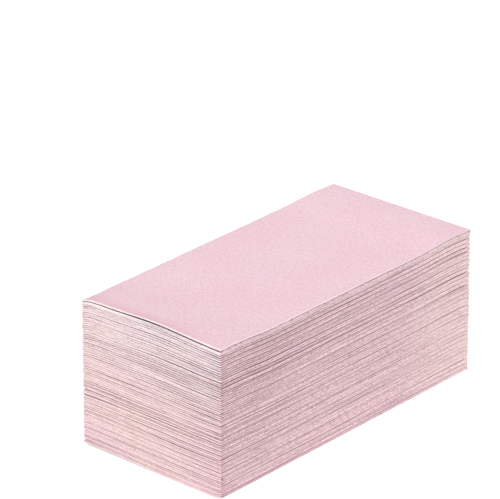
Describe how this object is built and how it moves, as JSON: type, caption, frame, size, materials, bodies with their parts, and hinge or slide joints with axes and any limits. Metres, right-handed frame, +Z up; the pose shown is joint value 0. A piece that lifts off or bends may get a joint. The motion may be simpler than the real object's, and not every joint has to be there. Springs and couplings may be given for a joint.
{
  "type": "stack of paper napkins",
  "caption": "Low pile of soft pale pink paper napkins with a fine linen emboss, each folded in thirds and then in half, laid one on another with folds and cut edges in line.",
  "frame": {"origin": "middle of the underside of the bottom napkin, on the surface that the stack rests on", "axes": "+X along the napkins to their half fold, with the open cut ends at -X; +Y across them to the long side where the outer ply of each leaf is creased; +Z up through the stack"},
  "size_m": [0.217, 0.1024, 0.0895],
  "materials": {
    "napkin_paper": "matte and soft, embossed all over with a fine linen weave"
  },
  "bodies": {
    "root": {"napkin_01": "napkin_paper", "napkin_02": "napkin_paper", "napkin_03": "napkin_paper", "napkin_04": "napkin_paper", "napkin_05": "napkin_paper", "napkin_06": "napkin_paper", "napkin_07": "napkin_paper", "napkin_08": "napkin_paper", "napkin_09": "napkin_paper", "napkin_10": "napkin_paper", "napkin_11": "napkin_paper", "napkin_12": "napkin_paper", "napkin_13": "napkin_paper", "napkin_14": "napkin_paper", "napkin_15": "napkin_paper", "napkin_16": "napkin_paper", "napkin_17": "napkin_paper", "napkin_18": "napkin_paper", "napkin_19": "napkin_paper", "napkin_20": "napkin_paper", "napkin_21": "napkin_paper", "napkin_22": "napkin_paper", "napkin_23": "napkin_paper", "napkin_24": "napkin_paper", "napkin_25": "napkin_paper", "napkin_26": "napkin_paper", "napkin_27": "napkin_paper", "napkin_28": "napkin_paper", "napkin_29": "napkin_paper", "napkin_30": "napkin_paper", "napkin_31": "napkin_paper", "napkin_32": "napkin_paper", "napkin_33": "napkin_paper", "napkin_34": "napkin_paper"}
  },
  "joints": []
}
